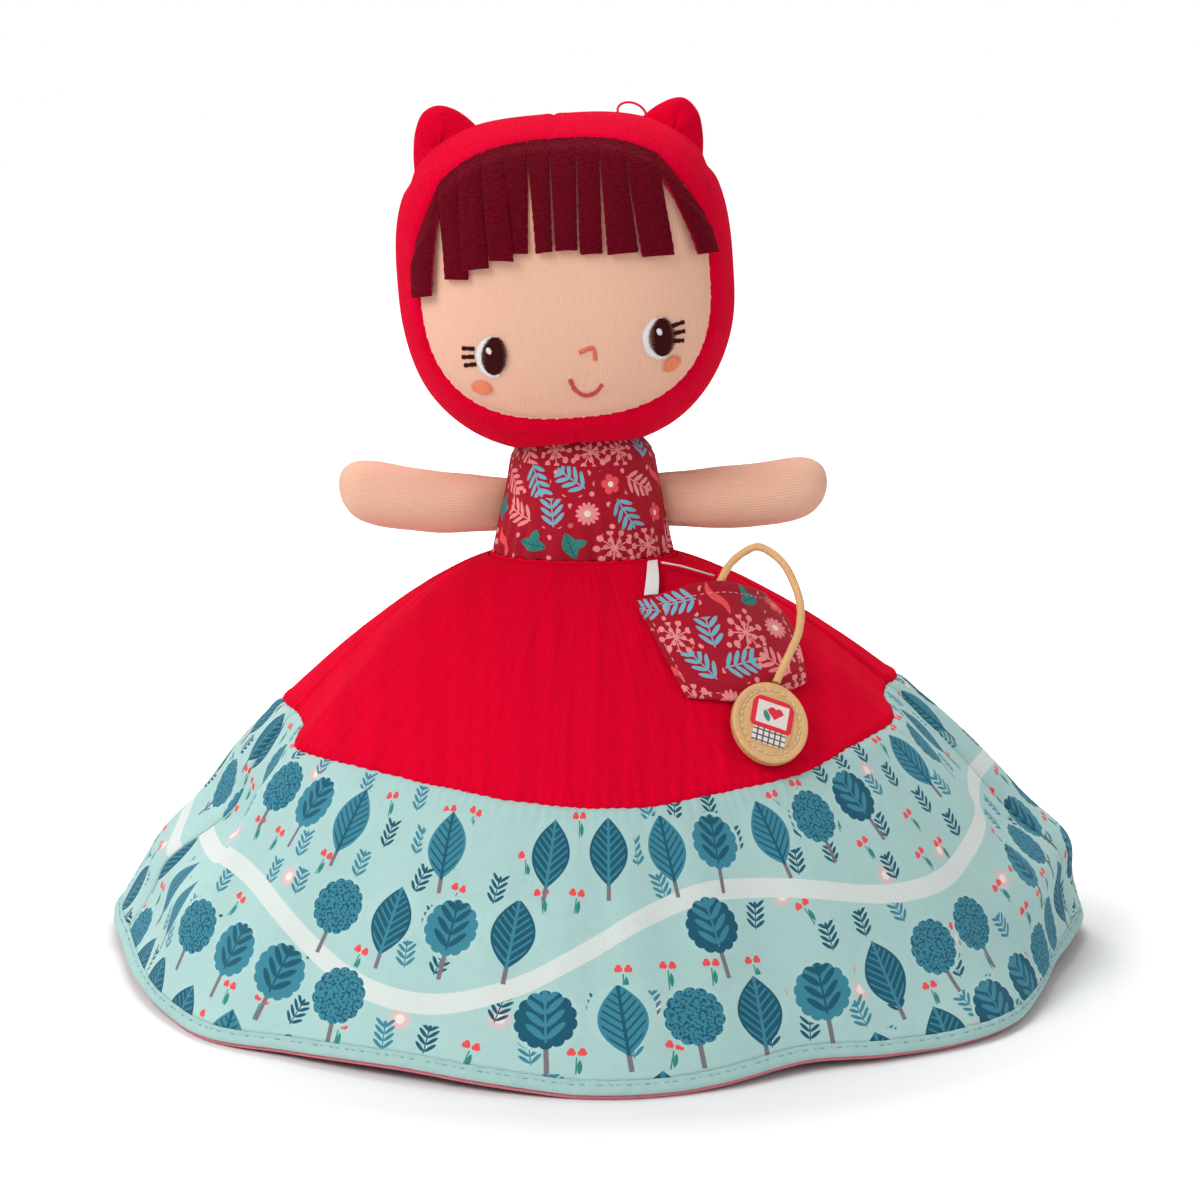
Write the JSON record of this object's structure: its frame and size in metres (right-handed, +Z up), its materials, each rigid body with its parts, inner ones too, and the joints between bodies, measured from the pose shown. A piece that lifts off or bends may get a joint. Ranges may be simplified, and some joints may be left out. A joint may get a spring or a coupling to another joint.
{
  "type": "topsy turvy doll",
  "caption": "Two soft half dolls joined at the waist by one reversible full skirt, standing on the hidden doll's crown; patch pocket with a corded charm.",
  "frame": {"origin": "the floor under the middle of the hidden lower doll's flattened crown, on the dolls' common axis", "axes": "+Z up towards the upper doll's head, the upper doll faces -Y, and +X is the viewer's right"},
  "size_m": [0.3493, 0.2811, 0.2978],
  "materials": {
    "red_cotton": "crinkled double gauze and velour, matt",
    "pink_cotton": "plain woven cotton, matt",
    "skin_jersey": "fine rib knit, matt",
    "burgundy_fleece": "cut fleece, matt",
    "honey_fleece": "cut fleece, matt",
    "burgundy_print": "small floral cotton print, matt",
    "rose_print": "small floral cotton print, matt",
    "mint_print": "printed cotton, matt",
    "fibre_fill": "polyester fibre stuffing",
    "dark_thread": "satin-stitch embroidery thread",
    "coral_thread": "satin-stitch embroidery thread",
    "white_ribbon": "satin ribbon",
    "tan_cord": "faux suede cord, satin",
    "tan_leather": "faux leather, satin",
    "emblem_print": "printed faux leather, satin"
  },
  "bodies": {
    "torso": {"upper_torso": "fibre_fill", "upper_bodice": "burgundy_print", "lower_torso": "fibre_fill", "lower_bodice": "rose_print", "waist_band": "red_cotton", "ribbon_tab": "white_ribbon", "pocket": "burgundy_print", "front_skirt_tier": "red_cotton", "back_skirt_tier": "red_cotton", "front_print_band": "mint_print", "back_print_band": "mint_print", "front_lining": "pink_cotton", "back_lining": "pink_cotton"},
    "hem": {"hem_band": "mint_print"},
    "upper_neck": {"upper_neck": "burgundy_print"},
    "upper_head": {"upper_head": "fibre_fill", "upper_face_panel": "skin_jersey", "upper_hood": "red_cotton", "upper_fringe": "burgundy_fleece", "upper_eye_left": "dark_thread", "upper_eye_right": "dark_thread", "upper_cheek_left": "coral_thread", "upper_cheek_right": "coral_thread", "upper_nose": "coral_thread", "upper_mouth": "coral_thread", "upper_ear_left": "red_cotton", "upper_ear_right": "red_cotton", "crown_thread_loop": "red_cotton"},
    "upper_arm_left": {"upper_arm_left": "skin_jersey"},
    "upper_arm_right": {"upper_arm_right": "skin_jersey"},
    "lower_neck": {"lower_neck": "rose_print"},
    "lower_head": {"lower_head": "fibre_fill", "lower_face_panel": "skin_jersey", "lower_hood": "pink_cotton", "lower_fringe": "honey_fleece", "lower_eye_left": "dark_thread", "lower_eye_right": "dark_thread", "lower_cheek_left": "coral_thread", "lower_cheek_right": "coral_thread", "lower_nose": "coral_thread", "lower_mouth": "coral_thread"},
    "lower_arm_left": {"lower_arm_left": "skin_jersey"},
    "lower_arm_right": {"lower_arm_right": "skin_jersey"},
    "cord": {"charm_cord": "tan_cord"},
    "charm": {"charm_back": "tan_leather", "charm_front": "tan_leather", "charm_emblem": "emblem_print"}
  },
  "joints": [
    {"name": "skirt_flip", "type": "slide", "parent": "torso", "child": "hem", "axis": [0, 0, 1], "range_m": [0, 0.285], "deforming": ["front_skirt_tier", "back_skirt_tier", "front_print_band", "back_print_band", "front_lining", "back_lining", "pocket", "ribbon_tab"]},
    {"name": "upper_neck_turn", "type": "hinge", "parent": "torso", "child": "upper_neck", "pos_m": [0, 0, 0.1617], "axis": [0, 0, 1], "range_deg": [-35, 35]},
    {"name": "upper_head_tilt", "type": "hinge", "parent": "upper_neck", "child": "upper_head", "pos_m": [0, 0, 0.1617], "axis": [0, 1, 0], "range_deg": [-10, 15]},
    {"name": "lower_neck_turn", "type": "hinge", "parent": "torso", "child": "lower_neck", "pos_m": [0, 0, 0.1293], "axis": [0, 0, 1], "range_deg": [-35, 35]},
    {"name": "lower_head_tilt", "type": "hinge", "parent": "lower_neck", "child": "lower_head", "pos_m": [0, 0, 0.1293], "axis": [0, 1, 0], "range_deg": [-5, 5]},
    {"name": "upper_arm_left_swing", "type": "hinge", "parent": "torso", "child": "upper_arm_left", "pos_m": [-0.02686, 0, 0.1655], "axis": [0.1935, 0, 0.9811], "range_deg": [-50, 50]},
    {"name": "upper_arm_right_swing", "type": "hinge", "parent": "torso", "child": "upper_arm_right", "pos_m": [0.02686, 0, 0.1655], "axis": [-0.1935, 0, 0.9811], "range_deg": [-50, 50]},
    {"name": "lower_arm_left_swing", "type": "hinge", "parent": "torso", "child": "lower_arm_left", "pos_m": [0.02686, 0, 0.1255], "axis": [0.1935, 0, 0.9811], "range_deg": [-40, 40]},
    {"name": "lower_arm_right_swing", "type": "hinge", "parent": "torso", "child": "lower_arm_right", "pos_m": [-0.02686, 0, 0.1255], "axis": [-0.1935, 0, 0.9811], "range_deg": [-40, 40]},
    {"name": "cord_lift", "type": "hinge", "parent": "torso", "child": "cord", "pos_m": [0.046, -0.0279, 0.1325], "axis": [-0.8925, -0.451, 0], "range_deg": [-1, 110]},
    {"name": "charm_swing", "type": "hinge", "parent": "cord", "child": "charm", "pos_m": [0.0627, -0.0456, 0.1103], "axis": [0.3329, -0.7209, 0.6079], "range_deg": [-25, 12]}
  ],
  "couplings": [
    {"joint": "cord_lift", "follows": "skirt_flip", "rad_per_m": 6.614}
  ]
}
